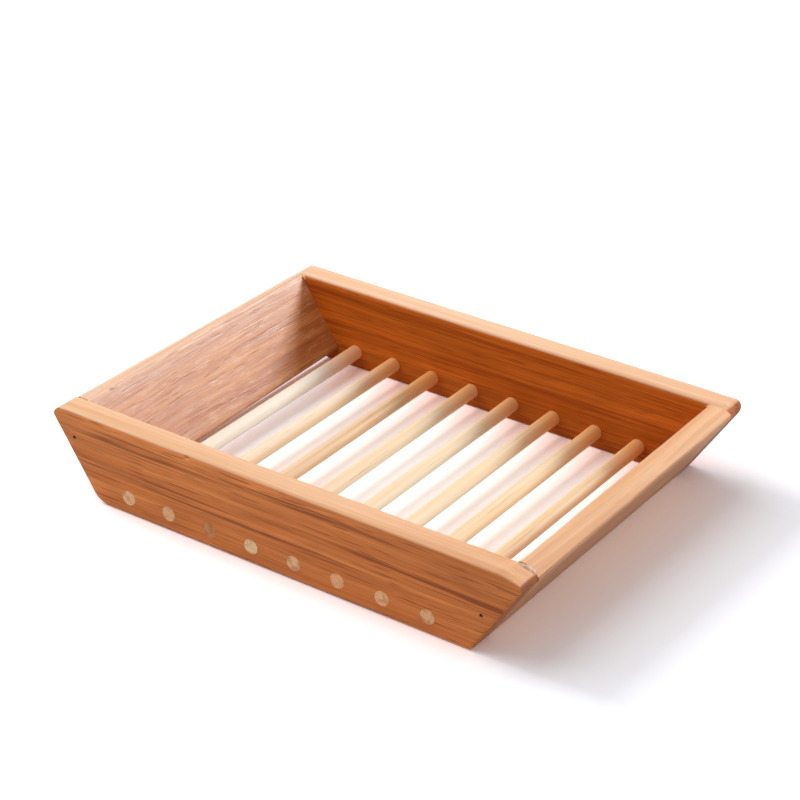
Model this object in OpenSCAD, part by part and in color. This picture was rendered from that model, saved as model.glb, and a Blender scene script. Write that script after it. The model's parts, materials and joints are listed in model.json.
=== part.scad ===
// Slatted bamboo soap dish: two upright side boards, two splayed end boards and a row of round dowels.
// X runs along the dish, Y from its front to its back and Z up. The origin is the middle of the footprint.

/* [Overall] */
// Length of the rim from tip to tip, before the tips are rounded
rim_length = 130; // [120:1:145]
// Length of the foot that the front and back boards stand on
foot_length = 102; // [92:1:110]
// Width over the front and back boards
dish_width = 93; // [78:1:110]
// Height of the rim above the surface
dish_height = 21.5; // [19:0.5:28]

/* [Side boards] */
// Thickness of the front and back boards
side_board_thickness = 6.5; // [5:0.1:8]
// Sanded rounding along the edges of the outer face
outer_edge_round = 0.9; // [0.3:0.1:1.2]
// Sanded rounding along the edges of the inner face
inner_edge_round = 0.5; // [0.2:0.1:0.9]
// Rounding along the back board's inner rim edge, where hands lift the soap out
worn_rim_round = 1.2; // [0.5:0.1:1.6]
// Rounding of a rim tip, seen from the front
tip_round = 2.4; // [1.4:0.1:3.5]
// Rounding of the back board's left rim tip, which is sanded down to the end board's rim
sanded_tip_round = 3.7; // [2.4:0.1:4.4]
// Rounding of a foot corner, seen from the front
foot_corner_round = 2.6; // [1.4:0.1:5]
// Rounding of the front board's left foot corner, which is sanded further than the others
sanded_foot_round = 9; // [3:0.5:12]
// Length of rim that dips towards the front board's right tip
dip_length = 7.5; // [4:0.5:12]
// Depth of that dip at the tip
dip_depth = 1.6; // [0.6:0.1:2.4]
// Rounding where the dip leaves the level rim
dip_round = 14; // [6:1:20]
// Rounding of the dipped tip
dipped_tip_round = 1.6; // [1.3:0.1:2.2]

/* [End boards] */
// Thickness of the two end boards
end_board_thickness = 5.6; // [4.4:0.1:6.6]
// Sanded rounding along the rim edges of an end board
end_rim_round = 0.7; // [0.3:0.1:1]
// Sanded rounding along the foot edges of an end board
end_foot_round = 0.5; // [0.2:0.1:1]
// Spare height of the left end board at its front end, sanded off level with the rim
left_rim_spare_front = 1.3; // [0.2:0.1:2.4]
// Spare height of the left end board at its back end
left_rim_spare_back = 0.5; // [0.2:0.1:2.4]
// Distance that the left end board's foot is cut short at its front end
left_foot_rise_front = 0.1; // [0:0.1:1.5]
// Distance that the left end board's foot is cut short at its back end
left_foot_rise_back = 1; // [0:0.1:1.5]
// Spare height of the right end board at its front end
right_rim_spare_front = 0.8; // [0.2:0.1:2.4]
// Spare height of the right end board at its back end
right_rim_spare_back = 2; // [0.2:0.1:2.4]

/* [Dowels] */
// Number of dowels in the row
dowel_count = 8; // [5:1:9]
// Diameter of a dowel
dowel_diameter = 3.7; // [3:0.1:4.4]
// Height of the dowel axes above the surface
dowel_height = 4.4; // [3.6:0.1:6]
// Distance from a foot end to the nearest dowel axis, for a centred row
dowel_margin = 10.1; // [9:0.1:16]
// Distance that the whole row sits off centre, towards the left end
dowel_row_shift = 0.6; // [0:0.1:1.5]
// Radial gap between a dowel and its bore, filled by glue
dowel_fit = 0.02; // [0.01:0.01:0.05]

/* [Brads] */
// Diameter of a brad's shank
brad_diameter = 0.6; // [0.5:0.1:0.8]
// Diameter of a brad's head
brad_head_diameter = 0.9; // [0.8:0.1:1.2]
// Thickness of a brad's head
brad_head_thickness = 0.3; // [0.2:0.1:0.6]
// Length of a brad from its head to its point
brad_length = 15; // [12:1:20]
// Length of a brad's tapered point
brad_point_length = 1; // [0.6:0.1:2]
// Depth of a brad's head below the outer face
brad_set = 0.5; // [0.2:0.1:1]
// Distance of a brad from the outer face of its end board
brad_inset = 3.2; // [2:0.1:3.6]
// Radial gap between a brad and the wood
brad_fit = 0.02; // [0.01:0.01:0.05]

/* [Hidden] */
$fn = 96;

// Length by which a cut runs past the face that it leaves
overrun = 1;

// Heights of the brads along an end board, as shares of its width: left and right, front row first
brad_height_shares = [[0.72, 0.44], [0.51, 0.63]];

// An end board leans out by this angle from upright
end_run = (rim_length - foot_length) / 2;
end_tilt = atan2(end_run, dish_height);

// Width of an end board cut square, whose inner rim edge just reaches the height of the rim
end_board_width = (dish_height - end_board_thickness * sin(end_tilt)) / cos(end_tilt);
end_board_length = dish_width - 2 * side_board_thickness;

// Reach of the long prisms that bound a board, which is past its furthest corner
board_reach = rim_length + dish_height;

dowel_pitch = (foot_length - 2 * dowel_margin) / (dowel_count - 1);

FRONT = -1;
BACK = 1;
LEFT = -1;
RIGHT = 1;

SIDE_BAMBOO = [0.70, 0.41, 0.24];
END_BAMBOO = [0.80, 0.56, 0.38];
DOWEL_BAMBOO = [0.93, 0.80, 0.58];
BRAD_STEEL = [0.40, 0.38, 0.37];

// Outline corners, seen from the front and running anticlockwise from the right tip
function foot_corner(side) = [side * foot_length / 2, 0];
function rim_corner(side) = [side * rim_length / 2, dish_height];
function slant_point(side, height) = [side * (foot_length / 2 + end_run * height / dish_height), height];

back_outline = [rim_corner(RIGHT), rim_corner(LEFT), foot_corner(LEFT), foot_corner(RIGHT)];
back_rounds = [tip_round, sanded_tip_round, foot_corner_round, foot_corner_round];
back_inner_rounds = [worn_rim_round, inner_edge_round, inner_edge_round, inner_edge_round];

front_outline = [
    slant_point(RIGHT, dish_height - dip_depth),
    rim_corner(RIGHT) - [dip_length, 0],
    rim_corner(LEFT),
    foot_corner(LEFT),
    foot_corner(RIGHT)
];
front_rounds = [dipped_tip_round, dip_round, tip_round, sanded_foot_round, foot_corner_round];
front_inner_rounds = [for (corner = front_outline) inner_edge_round];

// Outward unit normal of the edge from p to q of an anticlockwise outline
function outward(p, q) = [q[1] - p[1], p[0] - q[0]] / norm(q - p);

// The two normals at corner i, and the step that leads from an arc's centre to the corner, per unit radius
function corner_normals(points, i) =
    let (count = len(points), before = points[(i + count - 1) % count], after = points[(i + 1) % count])
    [outward(before, points[i]), outward(points[i], after)];
function corner_step(normals) = (normals[0] + normals[1]) / (1 + normals[0] * normals[1]);

// Offcut outside the arc that rounds corner i, from its tangent points to just past the corner
module corner_offcut(points, i, radius) {
    normals = corner_normals(points, i);
    step = corner_step(normals);
    centre = points[i] - radius * step;
    reach = radius + overrun;
    difference() {
        polygon([centre, centre + reach * normals[0], centre + reach * step, centre + reach * normals[1]]);
        translate(centre) circle(r = radius);
    }
}

// Convex outline whose corner i is an arc of radius rounds[i], or sharp where that is zero
module rounded_outline(points, rounds) {
    difference() {
        polygon(points);
        for (i = [0 : len(points) - 1])
            if (rounds[i] > 0) corner_offcut(points, i, rounds[i]);
    }
}

// Long prism bounded by one edge of a board's outline, with both of its long edges sanded round
module edge_prism(p, q, inner_round) {
    normal = outward(p, q);
    half = side_board_thickness / 2;
    section = [[-half, -board_reach], [half, -board_reach], [half, 0], [-half, 0]];
    translate([p[0], 0, p[1]])
        rotate([0, atan2(normal[0], normal[1]), 0])
            rotate([90, 0, 90])
                linear_extrude(height = 2 * board_reach, center = true)
                    rounded_outline(section, [0, 0, inner_round, outer_edge_round]);
}

// Board centred on y = 0 with its outer face towards the front. Corner i is rounded by rounds[i], and the
// inner side of the edge that starts at that corner by inner_rounds[i].
module sanded_board(points, rounds, inner_rounds) {
    last = len(points) - 1;
    difference() {
        intersection_for (i = [0 : last])
            edge_prism(points[i], points[(i + 1) % len(points)], inner_rounds[i]);
        for (i = [0 : last])
            rotate([90, 0, 0])
                linear_extrude(height = side_board_thickness + 2 * overrun, center = true)
                    corner_offcut(points, i, rounds[i]);
    }
}

// Row of cylinders on the dowel axes, from one to another of them
module dowel_row(first, last, diameter, length) {
    for (i = [first : last])
        translate([
            (i - (dowel_count + 1) / 2) * dowel_pitch - dowel_row_shift,
            0,
            dowel_height
        ])
            rotate([90, 0, 0])
                cylinder(d = diameter, h = length, center = true);
}

module dowel_bores() {
    dowel_row(1, dowel_count, dowel_diameter + 2 * dowel_fit, dish_width + 2 * overrun);
}

// Brad pointing along +Z with the top of its head at z = 0, grown by a gap all round
module brad_form(gap) {
    radius = brad_diameter / 2 + gap;
    translate([0, 0, -gap]) cylinder(d = brad_head_diameter + 2 * gap, h = brad_head_thickness + 2 * gap);
    cylinder(r = radius, h = brad_length - brad_point_length);
    translate([0, 0, brad_length - brad_point_length])
        cylinder(r1 = radius, r2 = 0, h = brad_point_length + gap);
}

// Hole for a brad, open to the outer face of its side board
module brad_hole() {
    brad_form(brad_fit);
    translate([0, 0, -brad_set - overrun])
        cylinder(d = brad_head_diameter + 2 * brad_fit, h = brad_set + overrun);
}

// Places its children at one of the four brads, with z = 0 at the top of the head
module at_brad(side, end) {
    along = end_board_width * brad_height_shares[(side + 1) / 2][(end + 1) / 2];
    x = foot_length / 2 - brad_inset * cos(end_tilt) + along * sin(end_tilt);
    z = brad_inset * sin(end_tilt) + along * cos(end_tilt);
    translate([end * x, side * (dish_width / 2 - brad_set), z])
        rotate([side * 90, 0, 0])
            children();
}

module brad_holes() {
    for (side = [FRONT, BACK])
        for (end = [LEFT, RIGHT])
            at_brad(side, end) brad_hole();
}

module front_board() {
    color(SIDE_BAMBOO)
        difference() {
            translate([0, FRONT * (dish_width - side_board_thickness) / 2, 0])
                sanded_board(front_outline, front_rounds, front_inner_rounds);
            dowel_bores();
            brad_holes();
        }
}

module back_board() {
    color(SIDE_BAMBOO)
        difference() {
            translate([0, BACK * (dish_width - side_board_thickness) / 2, 0])
                mirror([0, 1, 0])
                    sanded_board(back_outline, back_rounds, back_inner_rounds);
            dowel_bores();
            brad_holes();
        }
}

// Sections of the prisms that bound an end board, with its outer face on x = 0 and its inner face on the
// left: the square-cut rim, the foot, and the level of the dish's rim, which crosses the board at a slant
rim_section = [
    [-end_board_thickness, -board_reach],
    [0, -board_reach],
    [0, 0],
    [-end_board_thickness, 0]
];
foot_section = [
    [-end_board_thickness, 0],
    [0, 0],
    [0, board_reach],
    [-end_board_thickness, board_reach]
];
level_section = [
    [-end_board_thickness, -board_reach],
    [board_reach * cos(end_tilt) - end_board_thickness, -board_reach],
    [board_reach * cos(end_tilt) - end_board_thickness, end_board_width + board_reach * sin(end_tilt)],
    [-end_board_thickness, end_board_width]
];

// Prism along an end board whose section stands the two given heights up at the board's front and back ends
module end_prism(section, rounds, heights, length) {
    translate([0, 0, (heights[0] + heights[1]) / 2])
        rotate([atan((heights[1] - heights[0]) / end_board_length), 0, 0])
            rotate([90, 0, 0])
                linear_extrude(height = length, center = true)
                    rounded_outline(section, rounds);
}

// Right-hand plank before it leans out, with its outer face on x = 0 and its foot edge along Y
module upright_end_board(rim_spares, foot_rises) {
    rim_heights = [for (spare = rim_spares) end_board_width + spare];
    foot_rounds = [end_foot_round, end_foot_round, 0, 0];
    intersection() {
        end_prism(level_section, [0, 0, 0, end_rim_round], [0, 0], end_board_length);
        end_prism(rim_section, [0, 0, end_rim_round, 0], rim_heights, board_reach);
        end_prism(foot_section, foot_rounds, foot_rises, board_reach);
    }
}

// Plank that leans out between the side boards, with its outer face flush with their slanted ends
module end_board(end, rim_spares, foot_rises) {
    color(END_BAMBOO)
        difference() {
            mirror([end == LEFT ? 1 : 0, 0, 0])
                translate([foot_length / 2, 0, 0])
                    rotate([0, end_tilt, 0])
                        upright_end_board(rim_spares, foot_rises);
            brad_holes();
        }
}

module left_end_board() {
    end_board(
        LEFT,
        [left_rim_spare_front, left_rim_spare_back],
        [left_foot_rise_front, left_foot_rise_back]
    );
}

module right_end_board() {
    end_board(RIGHT, [right_rim_spare_front, right_rim_spare_back], [0, 0]);
}

// Dowel i of the row, counted from the left end and flush with both outer faces
module dowel(i) {
    color(DOWEL_BAMBOO) dowel_row(i, i, dowel_diameter, dish_width);
}

module corner_brads() {
    color(BRAD_STEEL)
        for (side = [FRONT, BACK])
            for (end = [LEFT, RIGHT])
                at_brad(side, end) brad_form(0);
}

front_board();
back_board();
left_end_board();
right_end_board();
for (i = [1 : dowel_count])
    dowel(i);
corner_brads();
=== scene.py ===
"""Slatted bamboo soap dish on a white floor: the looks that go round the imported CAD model."""

import json
import math

import bmesh
import bpy
from mathutils import Matrix, Vector, noise

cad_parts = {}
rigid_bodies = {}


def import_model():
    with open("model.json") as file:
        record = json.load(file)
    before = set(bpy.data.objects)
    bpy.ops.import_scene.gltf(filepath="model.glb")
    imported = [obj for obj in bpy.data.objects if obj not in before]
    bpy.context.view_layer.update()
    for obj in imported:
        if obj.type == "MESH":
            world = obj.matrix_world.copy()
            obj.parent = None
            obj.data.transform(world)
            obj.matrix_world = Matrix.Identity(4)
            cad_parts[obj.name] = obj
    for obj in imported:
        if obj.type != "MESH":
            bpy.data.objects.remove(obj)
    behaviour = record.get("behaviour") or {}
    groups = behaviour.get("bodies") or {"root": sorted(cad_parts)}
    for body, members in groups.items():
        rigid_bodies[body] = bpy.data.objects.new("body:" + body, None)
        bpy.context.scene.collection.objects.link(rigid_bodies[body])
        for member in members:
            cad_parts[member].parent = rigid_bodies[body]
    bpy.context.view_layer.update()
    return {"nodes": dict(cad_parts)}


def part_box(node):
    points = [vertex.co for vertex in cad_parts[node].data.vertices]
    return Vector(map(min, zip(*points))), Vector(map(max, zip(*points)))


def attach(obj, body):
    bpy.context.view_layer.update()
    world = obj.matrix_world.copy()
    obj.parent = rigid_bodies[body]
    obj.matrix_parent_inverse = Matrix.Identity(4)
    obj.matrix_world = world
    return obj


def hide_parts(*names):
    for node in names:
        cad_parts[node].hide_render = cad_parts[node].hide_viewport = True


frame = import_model()

MM = 0.001


def millimetres(length, digits=3):
    """A length that the frame gives in metres, in millimetres."""
    return round(length / MM, digits)


# Sizes of the dish, in millimetres, as the frame has them
front_low, front_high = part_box("front_board")
SIDE_INNER = millimetres(-front_high.y)
SIDE_OUTER = millimetres(-front_low.y)
RIM = millimetres(front_high.z)
SIDE_END = millimetres(front_high.x, digits=0)
dowel_low, dowel_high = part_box("dowel_1")
DOWEL_RADIUS = millimetres((dowel_high.x - dowel_low.x) / 2)
JOINT_START = millimetres(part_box("right_end_board")[0].x, digits=1)

# The side boards' half length at the foot and the lean of all board ends, as part.scad has them
FOOT_END = 51.0
END_TILT = math.radians(33.07)

scene = bpy.context.scene
scene.view_settings.view_transform = "Standard"

# Without a seed, the vector noise that bends the sticks would differ from run to run
NOISE_SEED = 1
noise.seed_set(NOISE_SEED)


def srgb(red, green, blue):
    """Linear colour of an 8-bit screen colour."""
    def linear(value):
        value /= 255
        return value / 12.92 if value <= 0.04045 else ((value + 0.055) / 1.055) ** 2.4
    return (linear(red), linear(green), linear(blue), 1.0)


def smooth_step(low, high, value):
    """0 at low and beyond it, 1 at high and beyond it, and an even curve between them."""
    share = min(1.0, max(0.0, (value - low) / (high - low)))
    return share * share * (3 - 2 * share)


def steps(low, high, step):
    """Places between low and high, about step apart."""
    count = round((high - low) / step)
    return [low + (high - low) * k / count for k in range(1, count)]


def unevenness(point, waves, shift):
    """Smooth noise from -1 to 1 at a point; waves gives its waves per millimetre along each axis."""
    return noise.noise(Vector([a * b for a, b in zip(point, waves)]) + shift)


def add_object(name, data):
    """Links a new object with this mesh, lamp or camera to the scene."""
    thing = bpy.data.objects.new(name, data)
    scene.collection.objects.link(thing)
    return thing


# Node trees

class Tree:
    """Node tree of a material or world, with a short call for each kind of node that is used here."""

    def __init__(self, owner):
        owner.use_nodes = True
        self.owner = owner
        self.nodes = owner.node_tree.nodes
        self.links = owner.node_tree.links
        self.nodes.clear()

    def add(self, kind, inputs=None, **settings):
        """New node. Each input is linked to a socket or set to a value."""
        node = self.nodes.new("ShaderNode" + kind)
        for key, value in settings.items():
            setattr(node, key, value)
        for key, value in (inputs or {}).items():
            if isinstance(value, bpy.types.NodeSocket):
                self.links.new(value, node.inputs[key])
            else:
                node.inputs[key].default_value = value
        return node

    def math(self, operation, a, b=0.0):
        return self.add("Math", {0: a, 1: b}, operation=operation).outputs[0]

    def vector_math(self, operation, a, b):
        return self.add("VectorMath", {0: a, 1: b}, operation=operation).outputs[0]

    def scaled(self, vector, factor):
        return self.add("VectorMath", {"Vector": vector, "Scale": factor}, operation="SCALE").outputs[0]

    def weighted_sum(self, a, share_a, b, share_b):
        """Sum of two values, each times its share."""
        return self.math("ADD", self.math("MULTIPLY", a, share_a), self.math("MULTIPLY", b, share_b))

    def part(self, vector, axis):
        """One component of a vector, by the number of its axis."""
        return self.add("SeparateXYZ", {"Vector": vector}).outputs[axis]

    def coordinate(self, kind):
        return self.add("TexCoord").outputs[kind]

    def ramp(self, value, low, high, to_low=0.0, to_high=1.0, smooth=True):
        """value mapped from low..high to to_low..to_high, held at both ends."""
        kind = "SMOOTHSTEP" if smooth else "LINEAR"
        return self.add("MapRange", {0: value, 1: low, 2: high, 3: to_low, 4: to_high},
                        interpolation_type=kind).outputs[0]

    def mix(self, share, a, b, blend="MIX"):
        """Colour a with this share of colour b. 6, 7 and 2 are the colour sockets of a Mix node."""
        return self.add("Mix", {0: share, 6: a, 7: b}, data_type="RGBA", blend_type=blend).outputs[2]

    def shaded(self, colour, value, low, high, dark, light):
        """colour, darker by the factor dark where value is low, and lighter by light where it's high."""
        factor = self.ramp(value, low, high, dark, light, smooth=False)
        return self.mix(1.0, colour, factor, "MULTIPLY")

    def noise(self, place, scale, detail, roughness=0.5):
        return self.add("TexNoise", {"Vector": place, "Scale": scale, "Detail": detail,
                                     "Roughness": roughness}).outputs[0]

    def grain(self, place, along, across, detail=3.0, roughness=0.55, seed=0.0):
        """Noise drawn out along the first axis; along and across are waves per millimetre."""
        drawn = self.add("Mapping", {"Vector": place, "Location": (seed, seed * 0.37, seed * 0.71),
                                     "Scale": (along, across, across)}).outputs[0]
        return self.noise(drawn, 1.0, detail, roughness)

    def finish(self, colour, roughness, specular, height, strength, depth, metallic=0.0):
        """Closes the tree with one Principled shader; depth is the relief's height in millimetres."""
        bump = self.add("Bump", {"Strength": strength, "Distance": depth * MM, "Height": height})
        shader = self.add("BsdfPrincipled", {
            "Base Color": colour, "Metallic": metallic, "Roughness": roughness,
            "Normal": bump.outputs[0], "Specular IOR Level": specular})
        self.add("OutputMaterial", {"Surface": shader.outputs[0]})
        return self.owner


# Bamboo

# Which axes of the dish run along the grain, up and across it, for boards and dowels that lie along x or y
GRAIN_AXES = {"x": (0, 2, 1), "y": (1, 2, 0)}

# How far the grain wanders from straight, in millimetres, and its waves per millimetre
WANDER = 2.2
WANDER_WAVES = (0.018, 0.07, 0.05)

# Heights between which the face below the rim turns pale, and the stretch along a side board over which
# its rim keeps more and more of its colour, in millimetres
RIM_FADE = (RIM - 8.0, RIM - 0.5)
TIP_STRETCH = (-10.0, 66.0)

# Distances of a dowel's side from the middle between which it turns browner, in millimetres, and that brown:
# painted shade and warm bounce light near the boards
STICK_SHADE_FADE = (SIDE_INNER - 20.0, SIDE_INNER - 2.0)
STICK_END_SHADE = srgb(250, 168, 76)


def grain_place(tree, turn, tilt=0.0):
    """Place in millimetres and normal, both with the grain along the first axis."""
    results = []
    for kind, scale in (("Object", 1 / MM), ("Normal", 1.0)):
        upright = tree.add("VectorRotate", {"Vector": tree.coordinate(kind), "Angle": tilt},
                           rotation_type="Y_AXIS").outputs[0]
        parts = tree.add("SeparateXYZ", {"Vector": upright}).outputs
        order = {i: parts[axis] for i, axis in enumerate(GRAIN_AXES[turn])}
        results.append(tree.scaled(tree.add("CombineXYZ", order).outputs[0], scale))
    return results


def wander(tree, place, seed):
    """place with its grain bent a little to and fro, as growth rings run."""
    bent = tree.add("Mapping", {"Vector": place, "Location": (seed, 0.0, seed), "Scale": WANDER_WAVES})
    push = tree.add("TexNoise", {"Vector": bent.outputs[0], "Scale": 1.0, "Detail": 2.0}).outputs["Color"]
    centred = tree.vector_math("SUBTRACT", push, (0.5, 0.5, 0.5))
    across = tree.vector_math("MULTIPLY", centred, (0.0, WANDER, WANDER))
    return tree.vector_math("ADD", place, across)


def end_grain(tree, colour, place, normal, pale, deep, dots_per_mm, dot_edge, clouds):
    """colour, and on cut ends a colour of its own, with the vessels as dots and darker clouds."""
    dots = tree.add("TexVoronoi", {"Vector": place, "Scale": dots_per_mm, "Randomness": 0.9},
                    feature="F1", voronoi_dimensions="3D").outputs[0]
    end = tree.mix(tree.ramp(dots, *dot_edge), deep, pale)
    end = tree.mix(clouds, end, deep)
    along = tree.math("ABSOLUTE", tree.part(normal, 0))
    return tree.mix(tree.ramp(along, 0.55, 0.85), colour, end)


def sanded_rim_and_sheen(tree, colour, place, lines, veins, fibres, pale, deep, kept, pale_below, tip):
    """colour, with the paler rim that sanding leaves, and a painted sheen on faces that look up.

    The face below the rim takes on its share pale_below of the rim's colour. Toward the dish's right end the
    rim keeps more of the face's own colour, kept, up to the share tip.
    """
    tone = tree.ramp(tree.weighted_sum(lines, 0.6, veins, 0.4), 0.38, 0.62)
    rim = tree.shaded(tree.mix(tone, deep, pale), fibres, 0.28, 0.72, 0.91, 1.08)
    rim = tree.mix(tree.ramp(tree.part(place, 0), *TIP_STRETCH, 0.0, tip), rim, kept)
    height = tree.part(tree.coordinate("Object"), 2)
    upward = tree.part(tree.coordinate("Normal"), 2)
    low, high = RIM_FADE
    colour = tree.mix(tree.ramp(height, low * MM, high * MM, 0.0, pale_below), colour, rim)
    # Faces that look up take the rim colour: the paler colour of sanding, with painted sheen in it
    return tree.mix(tree.ramp(upward, 0.50, 0.95), colour, rim)


def bamboo(name, turn, tilt, seed, pale, deep, streak, rim, rim_deep, end, end_deep,
           streaks=0.6, dashes=0.5, flecks=0.0, pale_below=0.0, tip=0.0, roughness=0.55, specular=0.22):
    """Carbonised bamboo: soft bands, fine fibres and short dark vessels along the grain, dotted end grain.

    streaks, dashes and flecks say how strongly the dark streaks, the vessels and the rough spots show.
    """
    tree = Tree(bpy.data.materials.new(name))
    straight, normal = grain_place(tree, turn, tilt)
    place = wander(tree, straight, seed)

    bands = tree.grain(place, 0.005, 0.17, detail=2.0, seed=seed)
    lines = tree.grain(place, 0.011, 0.62, seed=seed + 5)
    fibres = tree.grain(place, 0.03, 2.9, roughness=0.62, seed=seed + 11)
    veins = tree.grain(place, 0.008, 0.33, detail=4.0, roughness=0.6, seed=seed + 17)
    vessels = tree.grain(place, 0.09, 1.9, detail=1.0, seed=seed + 23)
    clouds = tree.grain(place, 0.03, 0.08, detail=2.0, seed=seed + 31)
    chips = tree.grain(place, 0.22, 1.1, roughness=0.6, seed=seed + 43)

    colour = tree.mix(tree.ramp(tree.weighted_sum(bands, 0.5, lines, 0.5), 0.39, 0.61), deep, pale)
    colour = tree.mix(tree.ramp(clouds, 0.42, 0.66, 0.0, 0.30), colour, streak)
    colour = tree.mix(tree.ramp(veins, 0.54, 0.66, 0.0, streaks), colour, streak)
    colour = tree.mix(tree.ramp(vessels, 0.60, 0.70, 0.0, dashes), colour, streak)
    colour = tree.mix(tree.ramp(chips, 0.52, 0.68, 0.0, flecks), colour, rim)
    colour = tree.mix(tree.ramp(chips, 0.46, 0.30, 0.0, flecks), colour, streak)
    colour = tree.shaded(colour, fibres, 0.28, 0.72, 0.74, 1.24)
    colour = sanded_rim_and_sheen(tree, colour, straight, lines, veins, fibres, rim, rim_deep, deep, pale_below, tip)
    colour = end_grain(tree, colour, straight, normal, end, end_deep, dots_per_mm=1.5, dot_edge=(0.16, 0.36),
                       clouds=tree.ramp(clouds, 0.42, 0.6, 0.0, 0.5))

    relief = tree.weighted_sum(fibres, 0.5, lines, 0.6)
    relief = tree.math("ADD", relief, tree.math("MULTIPLY", chips, flecks))
    dents = tree.math("MULTIPLY", tree.ramp(vessels, 0.60, 0.70), 0.5)
    relief = tree.math("SUBTRACT", relief, dents)
    shine = tree.ramp(fibres, 0.25, 0.75, roughness - 0.07, roughness + 0.10)
    return tree.finish(colour, shine, specular, relief, strength=0.6, depth=0.09)


def stick_bamboo(name, seed, pale, deep, streak, end_pale, end_deep):
    """Peeled bamboo stick: long fibres, a few brown streaks, dotted cut ends.

    Toward the boards the stick is painted browner: painted shade and warm bounce light where it enters them.
    """
    tree = Tree(bpy.data.materials.new(name))
    place, normal = grain_place(tree, "y")
    fibres = tree.grain(place, 0.02, 2.4, seed=seed)
    bands = tree.grain(place, 0.008, 0.45, detail=2.0, seed=seed + 7)
    marks = tree.grain(place, 0.05, 1.4, detail=2.0, seed=seed + 17)
    clouds = tree.grain(place, 0.5, 0.6, detail=2.0, seed=seed + 3)

    colour = tree.mix(tree.ramp(bands, 0.36, 0.64), deep, pale)
    colour = tree.mix(tree.ramp(fibres, 0.52, 0.72, 0.0, 0.45), colour, deep)
    colour = tree.mix(tree.ramp(marks, 0.60, 0.74, 0.0, 0.45), colour, streak)
    side = tree.math("ABSOLUTE", tree.part(place, 0))
    # Painted shade and warm bounce light toward the boards
    colour = tree.mix(tree.ramp(side, *STICK_SHADE_FADE, 0.0, 0.70), colour, STICK_END_SHADE)
    colour = end_grain(tree, colour, place, normal, end_pale, end_deep, dots_per_mm=1.9, dot_edge=(0.12, 0.30),
                       clouds=tree.ramp(clouds, 0.45, 0.65, 0.0, 0.6))
    shine = tree.ramp(fibres, 0.3, 0.7, 0.45, 0.62)
    return tree.finish(colour, shine, 0.16, fibres, strength=0.5, depth=0.06)


# Steel and glue

def brad_steel():
    """Dull steel wire with darker patches."""
    tree = Tree(bpy.data.materials.new("brad_steel_dull"))
    cloud = tree.noise(tree.scaled(tree.coordinate("Object"), 1 / MM), 2.2, 4.0)
    colour = tree.mix(tree.ramp(cloud, 0.35, 0.65), srgb(62, 54, 48), srgb(122, 114, 106))
    shine = tree.ramp(cloud, 0.3, 0.7, 0.35, 0.6)
    return tree.finish(colour, shine, 0.5, cloud, strength=0.4, depth=0.03, metallic=0.9)


def dried_glue(name, dark, light):
    """Wood glue that dried cloudy, with more or less sanding dust in it."""
    tree = Tree(bpy.data.materials.new(name))
    cloud = tree.noise(tree.scaled(tree.coordinate("Object"), 1 / MM), 1.6, 3.0)
    colour = tree.mix(tree.ramp(cloud, 0.35, 0.65), dark, light)
    shine = tree.ramp(cloud, 0.3, 0.7, 0.30, 0.5)
    return tree.finish(colour, shine, 0.5, cloud, strength=0.5, depth=0.08)


# Pieces

def mark_creases(mesh, degrees):
    """Makes the edges sharp at which the surface turns by this angle or more."""
    for edge in mesh.edges:
        edge.smooth = edge.calc_face_angle(0.0) < math.radians(degrees)


def add_piece(mesh, name, material):
    """Turns a bmesh into a smooth-shaded object that rides on the dish."""
    for face in mesh.faces:
        face.smooth = True
        face.material_index = 0
    data = bpy.data.meshes.new(name)
    mesh.to_mesh(data)
    mesh.free()
    data.materials.append(material)
    piece = add_object(name, data)
    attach(piece, "root")
    return piece


def bridge(mesh, ring, next_ring):
    """Band of faces between two rings with equally many points."""
    for s in range(len(ring)):
        t = (s + 1) % len(ring)
        mesh.faces.new((ring[s], ring[t], next_ring[t], next_ring[s]))


# Boards

# In millimetres: how close points of the CAD mesh are merged, and how close to a cut a point counts as on it
MERGE_GAP = 0.01
CUT_GAP = 0.002

# Least cosine between a broad face's normal and its board's, and the creases' angle in degrees
BROAD_COSINE = 0.99
BOARD_CREASE = 30

# Powers by which the sanding dies away, from the faces toward the middle of a board and from the rim down
FACE_POWER = 5
RIM_POWER = 24


def divide_skin(mesh, grain_axis, flat, cuts):
    """Divides the skin at places in millimetres, which cuts gives for each axis.

    Cuts across the grain go all round. The others divide only the broad faces, whose normal is flat.
    """
    for axis, places in enumerate(cuts):
        normal = Vector((axis == 0, axis == 1, axis == 2))
        for place in places:
            faces = [face for face in mesh.faces
                     if axis == grain_axis or abs(face.normal.dot(flat)) > BROAD_COSINE]
            edges = list(dict.fromkeys(edge for face in faces for edge in face.edges))
            verts = list(dict.fromkeys(vert for face in faces for vert in face.verts))
            bmesh.ops.bisect_plane(mesh, geom=verts + edges + faces, dist=CUT_GAP * MM,
                                   plane_co=normal * place * MM, plane_no=normal)
    bmesh.ops.remove_doubles(mesh, verts=mesh.verts[:], dist=CUT_GAP * MM)
    bmesh.ops.triangulate(mesh, faces=mesh.faces[:])


def wear(node, material, grain_axis, flat, cuts, sanding):
    """Stands a board with a finer skin, sanded uneven by hand, in for its CAD solid.

    sanding gives the depth in millimetres that is taken off at a point, so the board only ever gets smaller.
    It's taken off toward the board's middle plane, and near the rim downward.
    """
    mesh = bmesh.new()
    mesh.from_mesh(frame["nodes"][node].data)
    bmesh.ops.remove_doubles(mesh, verts=mesh.verts[:], dist=MERGE_GAP * MM)
    divide_skin(mesh, grain_axis, flat, cuts)
    mesh.normal_update()
    mark_creases(mesh, BOARD_CREASE)
    spans = [vert.co.dot(flat) for vert in mesh.verts]
    middle, half = (max(spans) + min(spans)) / 2, (max(spans) - min(spans)) / 2
    for vert in mesh.verts:
        inward = -((vert.co.dot(flat) - middle) / half) ** FACE_POWER * flat
        downward = Vector((0.0, 0.0, -max(0.0, vert.co.z / MM / RIM) ** RIM_POWER))
        vert.co += (inward + downward) * sanding(vert.co / MM) * MM
    piece = add_piece(mesh, f"{node}_worn", material)
    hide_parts(node)


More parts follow.
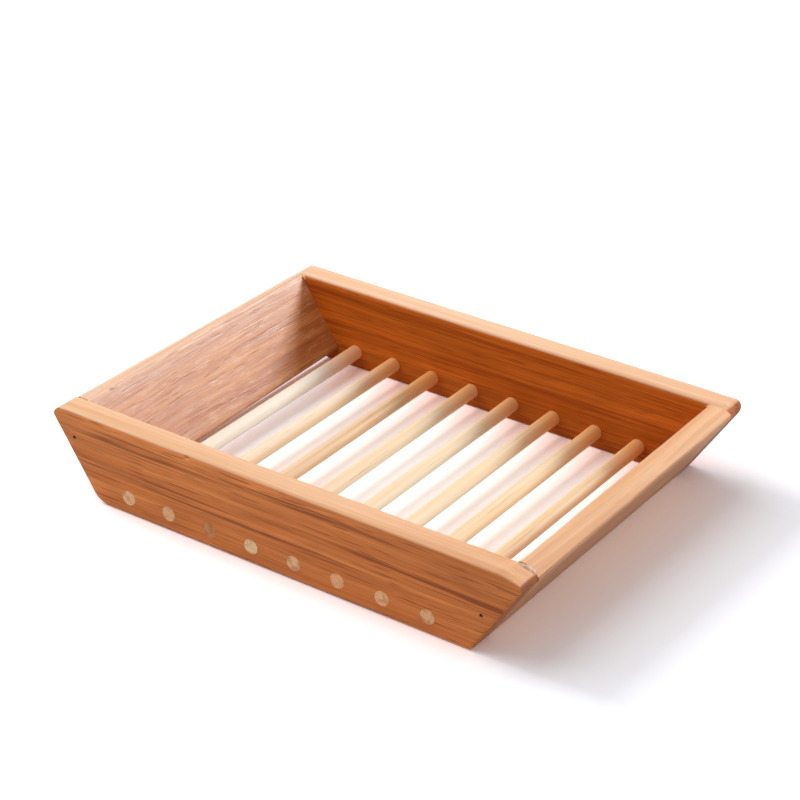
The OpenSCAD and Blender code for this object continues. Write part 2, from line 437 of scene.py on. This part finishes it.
def dowel_axis(number):
    """Place of a dowel's axis as x and z in millimetres."""
    low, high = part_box(f"dowel_{number}")
    return (low.x + high.x) / 2 / MM, (low.z + high.z) / 2 / MM


DOWELS = 8
dowel_axes = [dowel_axis(number) for number in range(1, DOWELS + 1)]

# In millimetres: a point this close to a dowel is on its bore's wall, one this close to the inner face is on
# it, and one this low is on the foot
BORE_SLACK = 0.05
FACE_SLACK = 0.1
FOOT_HEIGHT = 0.05

# Sanding depths of a side board in millimetres: the even part, the most of the uneven part, the most of what
# its edges have besides, worn and in nicks, and how far from an edge that starts and where it's full
SIDE_EVEN, SIDE_BROAD = 0.02, 0.05
SIDE_WORN, SIDE_NICKS = 0.04, 0.08
SIDE_EDGE_REACH = (1.5, 0.2)

# Share of the sanding that is left where a side board meets a dowel or an end board
FITTED_SHARE = 0.3

# Sanding depths of an end board in millimetres: the most of the uneven part, and the most of what its rim has
# besides, worn and in nicks. Then the heights over which the rim's wear comes in, and the distances from the
# dish's middle line over which all of it comes in from the ends, which fit between the side boards.
END_BROAD, END_WORN, END_NICKS = 0.07, 0.05, 0.16
END_RIM_BAND = (RIM - 1.8, RIM - 0.2)
END_FITTED = (SIDE_INNER - 0.05, SIDE_INNER - 1.5)


def is_fitted(p):
    """Whether a point of a side board is on the wall of a bore, or where an end board stands against it."""
    on_bore = any(math.hypot(p.x - x, p.z - z) < DOWEL_RADIUS + BORE_SLACK for x, z in dowel_axes)
    return on_bore or (abs(p.y) < SIDE_INNER + FACE_SLACK and abs(p.x) > JOINT_START)


def side_sanding(seed, marks):
    """Sanding depth of a side board: broad unevenness, worn edges, and marks as (centre, reach, depth)."""
    shift = Vector((seed, seed * 1.7, seed * 0.6))

    def depth(p):
        if p.z < FOOT_HEIGHT:
            return 0.0
        broad = 0.5 + 0.5 * unevenness(p, (0.045, 0.15, 0.11), shift)
        nicks = max(0.0, unevenness(p, (0.16, 0.3, 0.3), shift * 2))
        face_gap = min(abs(abs(p.y) - SIDE_OUTER), abs(abs(p.y) - SIDE_INNER))
        end_gap = (FOOT_END + p.z * math.tan(END_TILT) - abs(p.x)) * math.cos(END_TILT)
        edge = smooth_step(*SIDE_EDGE_REACH, max(face_gap, min(RIM - p.z, end_gap)))
        total = SIDE_EVEN + SIDE_BROAD * broad + edge * (SIDE_WORN * broad + SIDE_NICKS * nicks)
        if is_fitted(p):
            total *= FITTED_SHARE
        mark = 0.0
        for centre, reach, deep in marks:
            away = Vector([(a - b) / c for a, b, c in zip(p, centre, reach)]).length
            mark = max(mark, deep * smooth_step(1.0, 0.0, away))
        return total + mark
    return depth


def end_sanding(seed):
    """Sanding depth of an end board: broad unevenness, and softer edges along the rim."""
    shift = Vector((seed, seed * 1.3, seed * 0.4))

    def depth(p):
        broad = 0.5 + 0.5 * unevenness(p, (0.15, 0.05, 0.15), shift)
        nicks = max(0.0, unevenness(p, (0.3, 0.25, 0.3), shift * 2))
        rim = smooth_step(*END_RIM_BAND, p.z)
        total = END_BROAD * broad + rim * (END_WORN * broad + END_NICKS * nicks)
        return total * smooth_step(*END_FITTED, abs(p.y))
    return depth


# The rim colours are the paler colour that sanding leaves, with painted sheen in them
FRONT = {
    "pale": srgb(238, 146, 78), "deep": srgb(214, 122, 60), "streak": srgb(152, 78, 34),
    "rim": srgb(246, 198, 158), "rim_deep": srgb(234, 178, 132),
    "end": srgb(180, 104, 60), "end_deep": srgb(130, 76, 46)}
# The back board's colours are darker and more saturated than the front's: painted shade for its shaded inner
# face
BACK = {
    "pale": srgb(212, 114, 36), "deep": srgb(189, 96, 27), "streak": srgb(150, 64, 18),
    "rim": srgb(250, 210, 176), "rim_deep": srgb(242, 194, 154),
    "end": srgb(196, 120, 78), "end_deep": srgb(140, 78, 50)}
LEFT = {
    "pale": srgb(208, 138, 78), "deep": srgb(186, 112, 56), "streak": srgb(154, 80, 38),
    "rim": srgb(242, 200, 166), "rim_deep": srgb(230, 180, 142),
    "end": srgb(200, 140, 100), "end_deep": srgb(150, 96, 64)}
RIGHT = {
    "pale": srgb(222, 166, 122), "deep": srgb(204, 142, 98), "streak": srgb(170, 106, 66),
    "rim": srgb(242, 190, 146), "rim_deep": srgb(228, 168, 122),
    "end": srgb(200, 130, 86), "end_deep": srgb(150, 90, 58)}

# The front board's marks, in millimetres: a crack that wavers below its rim, and a chip at the crack's end
CRACK_START = -56.0
CRACK_END = -24.0
CRACK_STEP = 0.8
CRACK_HEIGHT = RIM - 1.2
CRACK_WAVER = 0.12
CRACK_WAVES = 0.7
CRACK_REACH = (1.2, 0.8, 0.30)
CRACK_DEPTH = 0.15
CHIP_X = CRACK_END + 0.2
CHIP_HEIGHT = RIM - 0.6
CHIP_REACH = (1.2, 1.1, 0.6)
CHIP_DEPTH = 0.35


def crack_mark(x):
    """One spot of the crack, as side_sanding takes it."""
    height = CRACK_HEIGHT + CRACK_WAVER * math.sin(x * CRACK_WAVES)
    return (x, -SIDE_OUTER, height), CRACK_REACH, CRACK_DEPTH


crack = [crack_mark(x) for x in steps(CRACK_START, CRACK_END, CRACK_STEP)]
chip = ((CHIP_X, -SIDE_OUTER, CHIP_HEIGHT), CHIP_REACH, CHIP_DEPTH)

# Distances between the cuts that divide the boards' skin, in millimetres
SKIN_STEP = 1.5
CHIP_STEP = 0.34
END_LENGTH_STEP = 1.6
END_HEIGHT_STEP = 1.3

# The stretch of x that an end board's lean covers, and the stretch at the chip that is divided more finely
END_SPREAD = (46.0, 64.0)
CHIP_STRETCH = (CHIP_X - 1.6, CHIP_X + 1.8)

# Where the skin is divided, closer together toward the rim and along the crack
SIDE_LENGTH_CUTS = steps(-SIDE_END, SIDE_END, SKIN_STEP)
SIDE_HEIGHT_CUTS = [1.2, 2.6, 4.4, 6.2, 7.8, 9.5, 11.2, 13, 14.8, 16.6, 18.2, 19.4]
CHIP_LENGTH_CUTS = steps(*CHIP_STRETCH, CHIP_STEP)
CRACK_HEIGHT_CUTS = [CRACK_HEIGHT + gap for gap in (-0.4, -0.2, -0.05, 0.1, 0.25)]
END_LENGTH_CUTS = steps(-SIDE_INNER, SIDE_INNER, END_LENGTH_STEP)
END_SPREAD_CUTS = steps(*END_SPREAD, SKIN_STEP)
END_HEIGHT_CUTS = steps(0, RIM, END_HEIGHT_STEP)

SIDE_FLAT = Vector((0.0, 1.0, 0.0))
wear("front_board", grain_axis=0, flat=SIDE_FLAT,
     cuts=(SIDE_LENGTH_CUTS + CHIP_LENGTH_CUTS, [], SIDE_HEIGHT_CUTS + CRACK_HEIGHT_CUTS),
     sanding=side_sanding(seed=3.0, marks=crack + [chip]),
     material=bamboo("side_bamboo_front", turn="x", tilt=0.0, seed=3.0, streaks=0.95, dashes=0.65, tip=0.22,
                     **FRONT))
wear("back_board", grain_axis=0, flat=SIDE_FLAT,
     cuts=(SIDE_LENGTH_CUTS, [], SIDE_HEIGHT_CUTS), sanding=side_sanding(seed=9.0, marks=[]),
     material=bamboo("side_bamboo_back", turn="x", tilt=0.0, seed=19.0, tip=0.15, specular=0.08, **BACK))
wear("left_end_board", grain_axis=1,
     flat=Vector((math.cos(END_TILT), 0.0, math.sin(END_TILT))),
     cuts=([-x for x in END_SPREAD_CUTS], END_LENGTH_CUTS, END_HEIGHT_CUTS), sanding=end_sanding(seed=5.0),
     material=bamboo("end_bamboo_left", turn="y", tilt=END_TILT, seed=41.0, streaks=0.5, flecks=0.26,
                     pale_below=0.25, roughness=0.39, specular=0.62, **LEFT))
wear("right_end_board", grain_axis=1,
     flat=Vector((-math.cos(END_TILT), 0.0, math.sin(END_TILT))),
     cuts=(END_SPREAD_CUTS, END_LENGTH_CUTS, END_HEIGHT_CUTS), sanding=end_sanding(seed=7.0),
     material=bamboo("end_bamboo_right", turn="y", tilt=-END_TILT, seed=57.0, flecks=0.2, specular=0.3,
                     **RIGHT))
frame["nodes"]["corner_brads"].material_slots[0].material = brad_steel()


# Dowels

SIDES = 44
RINGS = 96
CAP_RINGS = 5
STICK_CREASE = 35

# Between these distances from the middle, in millimetres, a stick goes from round and straight in its bore to
# uneven and bent in the open
STICK_FREE = (SIDE_INNER - 0.5, SIDE_INNER - 10.0)

# The radius in the bore as a share of the dowel's, and the shares by which it's thinner, uneven and ridged in
# the open
BORE_RADIUS_SHARE = 0.988
THIN_SHARE, UNEVEN_SHARE, RIDGE_SHARE = 0.035, 0.022, 0.012

# Most that a stick bends sideways and up, and the depth of its cut end's roughness, in millimetres
BEND_X, BEND_Z = 0.16, 0.12
CAP_ROUGH = 0.03

# Waves per millimetre along a stick of its bend, thinness, unevenness and ridges, of the roughness of its cut
# end, and the waves round it of its unevenness and ridges
BEND_WAVES, THIN_WAVES, UNEVEN_WAVES, RIDGE_WAVES = 0.022, 0.012, 0.03, 0.01
CAP_WAVES = 1.7
UNEVEN_ROUND, RIDGE_ROUND = 0.9, 3.2


def stick_ring(mesh, centre_x, centre_z, y, seed):
    """Ring of points round a stick at one place along it."""
    free = smooth_step(*STICK_FREE, abs(y))
    bend = noise.noise_vector(Vector((y * BEND_WAVES, seed * 7.1, 0.0)))
    thin = THIN_SHARE * (0.5 + 0.5 * noise.noise(Vector((seed * 4.3, 0.0, y * THIN_WAVES))))
    ring = []
    for s in range(SIDES):
        angle = 2 * math.pi * s / SIDES
        across, up = math.cos(angle), math.sin(angle)
        spot = Vector((across * UNEVEN_ROUND, up * UNEVEN_ROUND, y * UNEVEN_WAVES + seed * 3.3))
        ridge = Vector((across * RIDGE_ROUND, up * RIDGE_ROUND, y * RIDGE_WAVES + seed * 5.7))
        uneven = UNEVEN_SHARE * noise.noise(spot) + RIDGE_SHARE * noise.noise(ridge) - thin
        radius = DOWEL_RADIUS * (BORE_RADIUS_SHARE + free * uneven)
        x = centre_x + BEND_X * free * bend[0] + radius * across
        z = centre_z + BEND_Z * free * bend[1] + radius * up
        ring.append(mesh.verts.new((x * MM, y * MM, z * MM)))
    return ring


def stick_cap(mesh, ring, centre_x, centre_z, side, seed):
    """Slightly rough cut end, as rings that shrink to the middle; side is -1 in front and 1 behind."""
    outer = ring
    for c in range(1, CAP_RINGS):
        share = 1 - c / CAP_RINGS
        inner = []
        for vert in ring:
            x = centre_x + share * (vert.co.x / MM - centre_x)
            z = centre_z + share * (vert.co.z / MM - centre_z)
            rough = noise.noise(Vector((x * CAP_WAVES, z * CAP_WAVES, seed + side * 9.0)))
            y = side * (SIDE_OUTER - CAP_ROUGH + CAP_ROUGH * rough)
            inner.append(mesh.verts.new((x * MM, y * MM, z * MM)))
        bridge(mesh, outer, inner)
        outer = inner
    centre = mesh.verts.new((centre_x * MM, side * SIDE_OUTER * MM, centre_z * MM))
    for s in range(SIDES):
        mesh.faces.new((outer[s], centre, outer[(s + 1) % SIDES]))


def stick_mesh(centre_x, centre_z, seed):
    """Round stick from one outer face to the other, a little bent and uneven between the side boards."""
    mesh = bmesh.new()
    places = [-SIDE_OUTER + 2 * SIDE_OUTER * k / RINGS for k in range(RINGS + 1)]
    rings = [stick_ring(mesh, centre_x, centre_z, y, seed) for y in places]
    for ring, next_ring in zip(rings, rings[1:]):
        bridge(mesh, ring, next_ring)
    stick_cap(mesh, rings[0], centre_x, centre_z, -1, seed)
    stick_cap(mesh, rings[-1], centre_x, centre_z, 1, seed)
    bmesh.ops.recalc_face_normals(mesh, faces=mesh.faces)
    mark_creases(mesh, STICK_CREASE)
    return mesh


# Screen colours of each stick: pale, deep, streak, cut end, and the darker spots of the cut end
STICK_TONES = [
    # The first stick is painted paler than the others: painted light that makes up for the left end board's
    # shade on it
    ((255, 250, 240), (255, 242, 222), (236, 202, 160), (250, 200, 150), (204, 138, 92)),
    ((255, 238, 214), (248, 220, 182), (212, 162, 110), (248, 190, 140), (206, 134, 84)),
    ((244, 214, 178), (228, 188, 142), (190, 128, 74), (214, 148, 96), (176, 108, 60)),
    ((255, 240, 214), (248, 222, 184), (212, 162, 108), (255, 216, 164), (214, 152, 100)),
    ((255, 242, 218), (250, 226, 190), (206, 146, 90), (250, 198, 150), (200, 130, 84)),
    ((255, 242, 214), (250, 224, 184), (208, 148, 92), (250, 188, 138), (206, 130, 80)),
    ((255, 232, 196), (246, 208, 160), (198, 132, 74), (252, 196, 146), (206, 134, 84)),
    ((255, 238, 208), (248, 218, 174), (206, 146, 90), (248, 192, 142), (196, 124, 76)),
]
for number, (tones, centre) in enumerate(zip(STICK_TONES, dowel_axes), start=1):
    colours = [srgb(*tone) for tone in tones]
    stick_material = stick_bamboo(f"dowel_bamboo_{number}", 71.0 + 13 * number, *colours)
    stick = add_piece(stick_mesh(*centre, seed=number * 2.0), f"stick_{number}", stick_material)
    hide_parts(f"dowel_{number}")


# Glue that was squeezed out of the joints

BEAD_SIDES = 14
BEAD_RINGS = 40
BEAD_CREASE = 60

# Radius of a bead's very ends in millimetres, the power by which it tapers to them, its height as a share of
# its width, and the share and the waves per millimetre of its lumps
BEAD_LEAST = 0.01
BEAD_TAPER_POWER = 4
BEAD_HEIGHT_SHARE = 0.8
BEAD_LUMP_SHARE = 0.35
BEAD_LUMP_WAVES = 1.1


def glue_bead(name, material, side, rows, seed):
    """Uneven bead of dried glue along the rim of the front board, side -1, or the back board, side 1.

    A row is x, how far the bead lies into the board from its inner face, how far below the rim, and the
    bead's radius there, all in millimetres.
    """
    mesh = bmesh.new()
    points = [Vector((x, side * (SIDE_INNER + inside), RIM - drop)) for x, inside, drop, _ in rows]
    radii = [radius for *_, radius in rows]
    rings = []
    for k in range(BEAD_RINGS + 1):
        place = k / BEAD_RINGS * (len(points) - 1)
        i = min(int(place), len(points) - 2)
        share = place - i
        centre = points[i].lerp(points[i + 1], share)
        direction = (points[i + 1] - points[i]).normalized()
        across = direction.cross(Vector((0, 0, 1))).normalized()
        over = across.cross(direction)
        taper = math.sqrt(max(0.0, 1 - (2 * k / BEAD_RINGS - 1) ** BEAD_TAPER_POWER))
        radius = (radii[i] * (1 - share) + radii[i + 1] * share) * taper + BEAD_LEAST
        ring = []
        for s in range(BEAD_SIDES):
            angle = 2 * math.pi * s / BEAD_SIDES
            spot = centre * BEAD_LUMP_WAVES + Vector((math.cos(angle), math.sin(angle), seed))
            lumps = 1 + BEAD_LUMP_SHARE * noise.noise(spot)
            outward = math.cos(angle) * across + BEAD_HEIGHT_SHARE * math.sin(angle) * over
            ring.append(mesh.verts.new((centre + radius * lumps * outward) * MM))
        rings.append(ring)
    for ring, next_ring in zip(rings, rings[1:]):
        bridge(mesh, ring, next_ring)
    mesh.faces.new(rings[0])
    mesh.faces.new(rings[-1])
    bmesh.ops.recalc_face_normals(mesh, faces=mesh.faces)
    mark_creases(mesh, BEAD_CREASE)
    add_piece(mesh, name, material)


glue = dried_glue("dried_glue", srgb(220, 176, 148), srgb(236, 208, 190))
dusty_glue = dried_glue("dusty_glue", srgb(222, 160, 112), srgb(242, 196, 154))
glue_bead("glue_front_right", glue, -1, [
    (57.7, 0.05, 0.5, 0.2), (59.2, 0.2, 0.55, 0.5), (60.6, 0.15, 0.7, 0.42), (61.9, 0.2, 1.2, 0.55),
    (62.6, 0.1, 1.8, 0.3)], seed=1.0)
glue_bead("glue_front_left", dusty_glue, -1, [
    (-61.3, 0.15, 0.5, 0.2), (-60.0, 0.15, 0.35, 0.38), (-58.8, 0.15, 0.35, 0.34), (-57.6, -0.2, 0.7, 0.3)],
    seed=2.0)
glue_bead("glue_back_left", dusty_glue, 1, [
    (-59.6, 0.35, 0.4, 0.3), (-58.6, 0.4, 0.35, 0.36), (-57.6, 0.2, 0.6, 0.34), (-56.9, -0.1, 1.2, 0.2)],
    seed=4.0)
glue_bead("glue_back_right", dusty_glue, 1, [
    (57.2, -0.1, 1.0, 0.2), (58.4, 0.35, 0.45, 0.34), (60.0, 0.4, 0.35, 0.38), (61.6, 0.3, 0.4, 0.3)],
    seed=5.0)
glue_bead("glue_left_rim", glue, -1, [
    (-58.1, -7.0, 0.5, 0.2), (-58.0, -8.4, 0.5, 0.35), (-57.9, -9.6, 0.5, 0.2)], seed=3.0)


# Floor and surroundings

# How bright the camera sees the floor near the dish and far from it, and how much light it throws back
FLOOR_SEEN = 1.9
FLOOR_SEEN_FAR = 6.0
FLOOR_BOUNCE = 0.9
FLOOR_TINT = (0.98, 0.995, 1.045, 1.0)

# In metres: half the floor's width, and where its far brightness starts and is reached
FLOOR_REACH = 3.0
FLOOR_FAR = (0.3, 1.5)

WORLD_LIGHT = 0.30


def seen(tree):
    """1 for light that the camera sees, also in a reflection or through glass, and 0 for other light."""
    path = tree.add("LightPath").outputs
    reflected = tree.math("MAXIMUM", path["Is Glossy Ray"], path["Is Transmission Ray"])
    return tree.math("MAXIMUM", path["Is Camera Ray"], reflected)


def floor_material():
    """White paper, which the camera sees as overexposed as the photograph has it, and far off as white."""
    tree = Tree(bpy.data.materials.new("white_floor"))
    distance = tree.add("VectorMath", {0: tree.coordinate("Object")}, operation="LENGTH").outputs["Value"]
    shown = tree.ramp(distance, *FLOOR_FAR, FLOOR_SEEN, FLOOR_SEEN_FAR)
    level = tree.ramp(seen(tree), 0.0, 1.0, FLOOR_BOUNCE, shown, smooth=False)
    diffuse = tree.add("BsdfDiffuse", {"Color": tree.mix(1.0, level, FLOOR_TINT, "MULTIPLY")})
    tree.add("OutputMaterial", {"Surface": diffuse.outputs[0]})
    return tree.owner


def white_room():
    """World that is white where it's seen and a weak even light elsewhere."""
    tree = Tree(bpy.data.worlds.new("white_room"))
    strength = tree.ramp(seen(tree), 0.0, 1.0, WORLD_LIGHT, 1.0, smooth=False)
    background = tree.add("Background", {"Color": (1.0, 1.0, 1.0, 1.0), "Strength": strength})
    tree.add("OutputWorld", {"Surface": background.outputs[0]})
    return tree.owner


floor_mesh = bpy.data.meshes.new("floor")
corners = [(x * FLOOR_REACH, y * FLOOR_REACH, 0) for x, y in ((-1, -1), (1, -1), (1, 1), (-1, 1))]
floor_mesh.from_pydata(corners, [], [(0, 1, 2, 3)])
floor_mesh.materials.append(floor_material())
floor = add_object("floor", floor_mesh)
scene.world = white_room()


# Lamps

# Distance of each lamp from the origin in metres
LAMP_DISTANCE = 0.9


def softbox(name, toward, width, height, level):
    """Area light that adds level to a level white surface; width runs level and height up its slope."""
    toward = Vector(toward).normalized()
    data = bpy.data.lights.new(name, "AREA")
    data.shape = "RECTANGLE"
    data.size = width
    data.size_y = height
    data.energy = level * math.pi ** 2 * LAMP_DISTANCE ** 2 / toward.z
    lamp = add_object(name, data)
    lamp.location = toward * LAMP_DISTANCE
    lamp.rotation_euler = toward.to_track_quat("Z", "Y").to_euler()
    return lamp


# A small key with a broad surround above it gives the shadow its dark core and its wide soft edge
softbox("key", (-1.08, -0.06, 1.0), width=0.22, height=0.20, level=0.14)
softbox("key_surround", (-0.66, -0.06, 1.0), width=0.95, height=1.05, level=0.30)

# The side and front lights model the dish alone, so that the floor keeps the shadow of the key light
dish_lamps = [softbox("side", (0.50, 0.66, 0.48), width=0.25, height=0.25, level=0.33),
              softbox("front", (-0.1, -1.0, 0.30), width=0.5, height=0.3, level=0.03)]
dish_only = bpy.data.collections.new("dish_only")
for thing in bpy.data.objects:
    if thing.type == "MESH" and thing != floor:
        dish_only.objects.link(thing)
for lamp in dish_lamps:
    lamp.light_linking.receiver_collection = dish_only


# Camera

# The camera was solved from the photograph's board corners. From TARGET, above the dish's middle, it stands
# this far to the right, up and back along its own axes. Lengths are in millimetres.
AZIMUTH, ELEVATION = math.radians(35.3), math.radians(28.98)
TARGET = Vector((0.0, 0.0, 14.0))
CAMERA_RIGHT, CAMERA_UP, CAMERA_BACK = 0.38, 6.98, 537.18
FOCAL_LENGTH, SENSOR_WIDTH = 105.74, 36.0

# How far the camera sees, in metres
CLIP_END = 20.0

back = Vector((math.sin(AZIMUTH) * math.cos(ELEVATION), -math.cos(AZIMUTH) * math.cos(ELEVATION),
               math.sin(ELEVATION)))
right = Vector((math.cos(AZIMUTH), math.sin(AZIMUTH), 0.0))
up = back.cross(right)
camera_data = bpy.data.cameras.new("camera")
camera_data.sensor_fit = "HORIZONTAL"
camera_data.sensor_width = SENSOR_WIDTH
camera_data.lens = FOCAL_LENGTH
camera_data.clip_end = CLIP_END
camera = add_object("camera", camera_data)
station = (TARGET + CAMERA_RIGHT * right + CAMERA_UP * up + CAMERA_BACK * back) * MM
camera.matrix_world = Matrix.Translation(station) @ Matrix((right, up, back)).transposed().to_4x4()
scene.camera = camera

bpy.context.view_layer.update()
